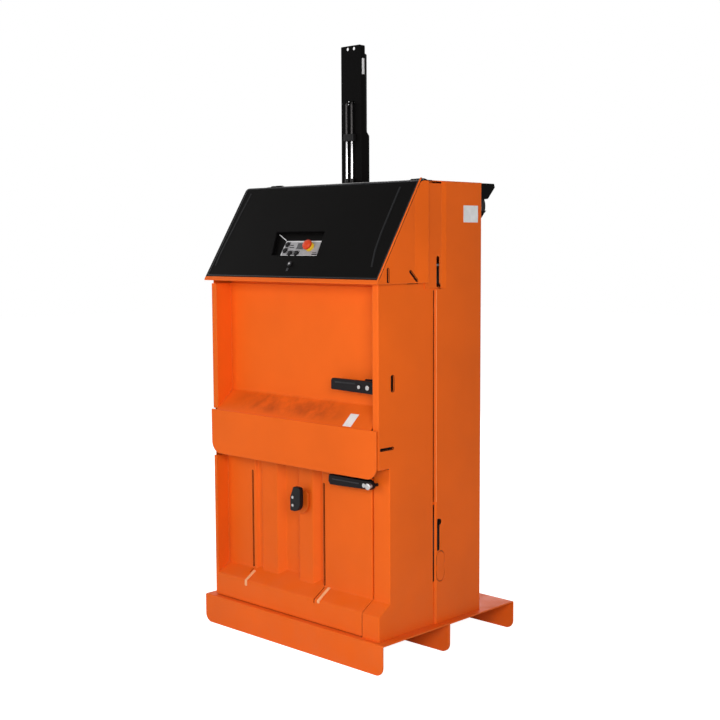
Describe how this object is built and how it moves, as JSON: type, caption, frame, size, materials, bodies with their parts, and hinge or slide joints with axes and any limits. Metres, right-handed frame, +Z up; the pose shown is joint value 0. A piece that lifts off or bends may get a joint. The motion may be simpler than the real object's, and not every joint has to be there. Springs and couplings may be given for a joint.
{
  "type": "recycling baler",
  "caption": "Upright recycling baler in orange sheet steel with a sloping black control hood, a folding-front loading door, a ribbed bale door, levers and a press cylinder behind a mast.",
  "frame": {"origin": "on the floor, under the middle of the base plate", "axes": "+Z up, -Y towards the front with the doors, +X to the right of somebody facing the front"},
  "size_m": [1, 0.78, 2.328],
  "materials": {
    "orange_paint": "gloss powder coat",
    "grey_paint": "satin paint",
    "black_paint": "satin powder coat",
    "motor_paint": "grey enamel",
    "pump_iron": "machined casting",
    "steel": "zinc plated",
    "chrome": "hard chrome",
    "black_plastic": "moulded",
    "smoked_lens": "smoked",
    "yellow_plastic": "moulded",
    "red_plastic": "moulded",
    "pale_webbing": "moulded",
    "white_label": "printed film, blank"
  },
  "bodies": {
    "frame": {"base_plate": "orange_paint", "middle_foot": "orange_paint", "side_panel_left": "orange_paint", "side_panel_right": "orange_paint", "rear_shell": "orange_paint", "chamber_liner": "grey_paint", "chamber_floor": "grey_paint", "guide_rails": "grey_paint", "roof_plate": "orange_paint", "hood_housing": "orange_paint", "hood_hinge_pin": "steel", "hinge_blocks": "black_paint", "door_header": "orange_paint", "door_hinge_leaves": "black_paint", "door_hinge_pins": "steel", "cross_beam": "grey_paint", "cylinder_gland": "black_paint", "cylinder_barrel": "black_paint", "cylinder_bolts": "steel", "mast_guard": "black_paint", "mast_foot": "black_paint", "pressure_pipes": "chrome", "pipe_fixings": "steel", "power_pack_bracket": "black_paint", "drive_motor": "motor_paint", "hydraulic_pump": "pump_iron", "oil_tank": "black_paint", "electric_box": "grey_paint", "body_labels": "white_label"},
    "press": {"press_platen": "grey_paint", "press_rod": "chrome", "guide_shoes": "black_plastic"},
    "upper_door": {"loading_door": "orange_paint", "upper_handle_plate": "black_paint", "door_label": "white_label"},
    "upper_lever": {"upper_handle": "black_paint", "upper_latch": "steel", "upper_handle_bolts": "steel"},
    "lower_door": {"bale_door": "orange_paint", "lower_latch_plate": "black_paint", "grip_block": "black_plastic", "grip_bracket": "orange_paint", "grip_screws": "steel", "strap_tongues": "pale_webbing"},
    "lower_lever": {"lower_handle": "black_paint", "lower_handle_bolts": "steel"},
    "cover": {"hood_cover": "black_paint", "cover_knuckles": "black_paint", "control_tray": "black_paint", "keypad_plate": "steel", "button_rings": "steel", "indicator_window": "smoked_lens", "stop_collar": "yellow_plastic"},
    "stop": {"stop_button": "red_plastic"},
    "lock": {"cover_lock": "steel"},
    "button_1": {"push_button_1": "black_plastic"},
    "button_2": {"push_button_2": "black_plastic"},
    "button_3": {"push_button_3": "black_plastic"},
    "button_4": {"push_button_4": "black_plastic"}
  },
  "joints": [
    {"name": "loading_door_hinge", "type": "hinge", "parent": "frame", "child": "upper_door", "pos_m": [-0.47, -0.344, 1.1], "axis": [0, 0, -1], "range_deg": [0, 110]},
    {"name": "bale_door_hinge", "type": "hinge", "parent": "frame", "child": "lower_door", "pos_m": [-0.47, -0.344, 0.4], "axis": [0, 0, -1], "range_deg": [0, 110]},
    {"name": "upper_handle_turn", "type": "hinge", "parent": "upper_door", "child": "upper_lever", "pos_m": [0.38, -0.3, 1.036], "axis": [0, 1, 0], "range_deg": [0, 80]},
    {"name": "lower_handle_turn", "type": "hinge", "parent": "lower_door", "child": "lower_lever", "pos_m": [0.344, -0.32, 0.679], "axis": [0, -1, 0], "range_deg": [0, 80]},
    {"name": "press_stroke", "type": "slide", "parent": "frame", "child": "press", "axis": [0, 0, 1], "range_m": [-0.7, 0]},
    {"name": "hood_cover_hinge", "type": "hinge", "parent": "frame", "child": "cover", "pos_m": [0, -0.085, 1.789], "axis": [-1, 0, 0], "range_deg": [0, 70]},
    {"name": "cover_lock_turn", "type": "hinge", "parent": "cover", "child": "lock", "pos_m": [-0.013, -0.3484, 1.48052], "axis": [0, -0.8448, 0.5351], "range_deg": [0, 90]},
    {"name": "stop_press", "type": "slide", "parent": "cover", "child": "stop", "axis": [0, -0.8448, 0.5351], "range_m": [-0.004, 0]},
    {"name": "push_button_1_press", "type": "slide", "parent": "cover", "child": "button_1", "axis": [0, -0.8448, 0.5351], "range_m": [-0.0025, 0], "stiffness_N_per_m": 300},
    {"name": "push_button_2_press", "type": "slide", "parent": "cover", "child": "button_2", "axis": [0, -0.8448, 0.5351], "range_m": [-0.0025, 0], "stiffness_N_per_m": 300},
    {"name": "push_button_3_press", "type": "slide", "parent": "cover", "child": "button_3", "axis": [0, -0.8448, 0.5351], "range_m": [-0.0025, 0], "stiffness_N_per_m": 300},
    {"name": "push_button_4_press", "type": "slide", "parent": "cover", "child": "button_4", "axis": [0, -0.8448, 0.5351], "range_m": [-0.0025, 0], "stiffness_N_per_m": 300}
  ]
}
